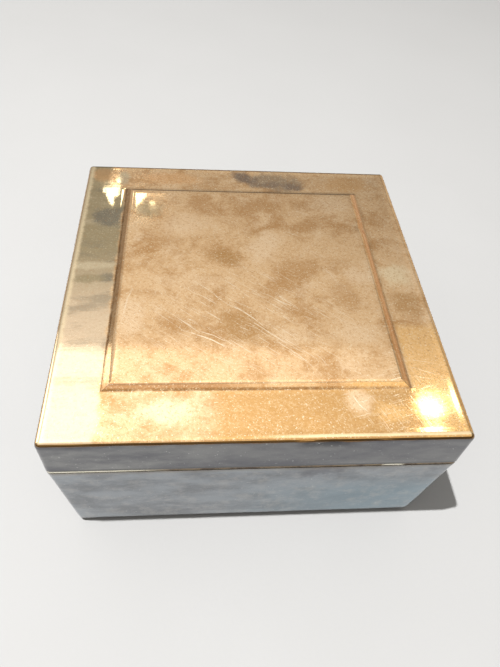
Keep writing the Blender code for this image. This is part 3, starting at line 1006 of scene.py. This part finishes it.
def area_light(name, place, aim, size, radiance, colour=(1.0, 1.0, 1.0), shape="RECTANGLE"):
    """A lamp whose surface looks as bright as radiance says. It only shows in reflections."""
    data = bpy.data.lights.new(name, "AREA")
    data.shape = shape
    data.size, data.size_y = size
    area = size[0] * size[1] * (math.pi / 4 if shape == "ELLIPSE" else 1)
    data.energy = POWER_PER_AREA * radiance * area
    data.color = colour
    light = bpy.data.objects.new(name, data)
    bpy.context.scene.collection.objects.link(light)
    light.location = place
    light.rotation_mode = "QUATERNION"
    light.rotation_quaternion = (Vector(aim) - Vector(place)).to_track_quat("-Z", "Y")
    light.visible_camera = False
    light.visible_diffuse = False
    return light


def ceiling_light(name, x_range, y_range, radiance, colour=(1.0, 1.0, 1.0), shape="RECTANGLE", gap=0.97):
    """A softbox that hangs level, facing down, with its edges along X and Y. The ranges say which part of the
    lid shows it to the camera, so they count in millimetres on the lid's border. gap is its height above the
    border in metres, and softboxes that overlap need different ones."""
    top = BORDER_Z * MM
    reach = 1 + gap / (EYE.z - top)
    x_low, x_high = (EYE.x + (x * MM - EYE.x) * reach for x in x_range)
    y_low, y_high = (EYE.y + (y * MM - EYE.y) * reach for y in y_range)
    centre = Vector(((x_low + x_high) / 2, (y_low + y_high) / 2, top + gap))
    size = (x_high - x_low, y_high - y_low)
    light = area_light(name, centre, centre - Vector((0, 0, 1)), size, radiance, colour, shape)
    light.rotation_quaternion = Quaternion()
    return light


def shape_emission(light, build):
    """Multiplies a softbox's brightness by build(tree, u, v), where u and v run over it from 0 to 1."""
    light.data.use_nodes = True
    tree = light.data.node_tree
    geometry, split = tree.nodes.new("ShaderNodeNewGeometry"), tree.nodes.new("ShaderNodeSeparateXYZ")
    tree.links.new(geometry.outputs["Parametric"], split.inputs[0])
    strength = build(tree, split.outputs["X"], split.outputs["Y"])
    tree.links.new(strength, tree.nodes["Emission"].inputs["Strength"])


def blend_node(tree, value, *numbers):
    """An even change from one range to another: numbers are From Min, From Max, To Min and To Max."""
    node = tree.nodes.new("ShaderNodeMapRange")
    tree.links.new(value, node.inputs["Value"])
    for socket, number in zip(node.inputs[1:5], numbers):
        socket.default_value = number
    return node.outputs[0]


def add_scaled(tree, first, second, factor):
    """first + factor * second."""
    node = tree.nodes.new("ShaderNodeMath")
    node.operation = "MULTIPLY_ADD"
    tree.links.new(second, node.inputs[0])
    node.inputs[1].default_value = factor
    tree.links.new(first, node.inputs[2])
    return node.outputs[0]


def wedge(tip):
    """Brightness inside a ragged triangle that stands on its tip, at tip along the near edge."""
    soft = 0.04

    def build(tree, u, v):
        place, ragged = tree.nodes.new("ShaderNodeCombineXYZ"), tree.nodes.new("ShaderNodeTexNoise")
        tree.links.new(u, place.inputs[0])
        tree.links.new(v, place.inputs[1])
        tree.links.new(place.outputs[0], ragged.inputs["Vector"])
        ragged.inputs["Scale"].default_value = 3.5
        ragged.inputs["Detail"].default_value = 3.0
        shift = blend_node(tree, ragged.outputs[0], 0.25, 0.75, -0.3, 0.3)
        left = add_scaled(tree, add_scaled(tree, u, v, tip), shift, 1.0)
        right = add_scaled(tree, add_scaled(tree, u, v, tip - 1), shift, -0.8)
        both = tree.nodes.new("ShaderNodeMath")
        both.operation = "MULTIPLY"
        tree.links.new(blend_node(tree, left, tip - soft, tip + soft, 0.0, 1.0), both.inputs[0])
        tree.links.new(blend_node(tree, right, tip - soft, tip + soft, 1.0, 0.0), both.inputs[1])
        return both.outputs[0]
    return build


def make_world():
    """A room with a bright ceiling and walls that are dark towards the horizon, most of all at the right."""
    world = bpy.data.worlds.new("studio")
    bpy.context.scene.world = world
    world.use_nodes = True
    tree = world.node_tree
    where, dot = tree.nodes.new("ShaderNodeTexCoord"), tree.nodes.new("ShaderNodeVectorMath")
    dot.operation = "DOT_PRODUCT"
    tree.links.new(where.outputs["Generated"], dot.inputs[0])
    dot.inputs[1].default_value = (-0.2, 0.0, 1.0)
    background = tree.nodes["Background"]
    background.inputs["Color"].default_value = (1.0, 0.97, 0.93, 1.0)
    strength = blend_node(tree, dot.outputs["Value"], 0.305, 1.0, 0.15, 1.54)
    tree.links.new(strength, background.inputs["Strength"])


def make_key_light():
    """The small lamp that throws the shadow, to the right and slightly forwards."""
    key = area_light("key", (-0.291, -0.118, 1.2), (0, 0, 0.03), (0.02, 0.02), 35000.0, shape="ELLIPSE")
    key.visible_diffuse = True
    key.visible_glossy = False


def make_reflections():
    """What the metal mirrors: a window at the left, a lamp over the front right corner, glints at the back
    left and the room's walls."""
    warm = (1.0, 0.97, 0.90)
    window_side = -43.4
    ceiling_light("window", (-80, window_side), (-160, -29.6), 0.85, warm, gap=1.0)
    fading = ceiling_light("ceiling_glow", (window_side, 72), (-160, -30.4), 1.0, warm, gap=1.0)
    shape_emission(fading, lambda tree, u, v: blend_node(tree, u, 0.0, 0.8, 0.45, 0.08))
    ceiling_light("lamp", (45.3, 53.3), (-55.4, -47.4), 6.0, (1.0, 0.97, 0.88), "ELLIPSE")
    side_at, box_at = Vector((-1.435, 0.532, 0.6)), Vector((-0.045, -0.028, 0.6))
    area_light("side_window", side_at, box_at, (0.85, 1.2), 1.5, warm)
    area_light("right_wall", (0.98, 0.82, 0.42), (0.044, 0.0, 0.42), (1.0, 0.84), 0.40, (1.0, 0.88, 0.70))
    area_light("left_wall", (-0.93, 0.83, 0.33), (-0.044, 0.0, 0.06), (1.0, 0.5), 0.2, (1.0, 0.86, 0.72))
    area_light("front_wall", (0.24, -0.87, 0.74), (0.02, -0.045, 0.06), (1.2, 0.34), 0.45, (1.0, 0.85, 0.6))
    pale = (1.0, 0.96, 0.84)
    shape_emission(ceiling_light("glint_border", (-53.2, -46.9), (34.5, 48.0), 5.0, pale), wedge(0.70))
    shape_emission(ceiling_light("glint_panel", (-42.8, -36.6), (35.4, 43.6), 5.0, pale), wedge(0.40))
    ceiling_light("glint_top", (-48.9, -47.2), (50.5, 53.5), 5.0, pale, "ELLIPSE")
    ceiling_light("glint_right", (-35.2, -33.0), (36.0, 38.2), 4.0, pale, "ELLIPSE")
    ceiling_light("glint_line", (-37.5, -29.0), (42.6, 43.3), 1.5, pale)


make_floor()
make_world()
make_key_light()
make_reflections()
bpy.context.scene.view_settings.view_transform = "Standard"
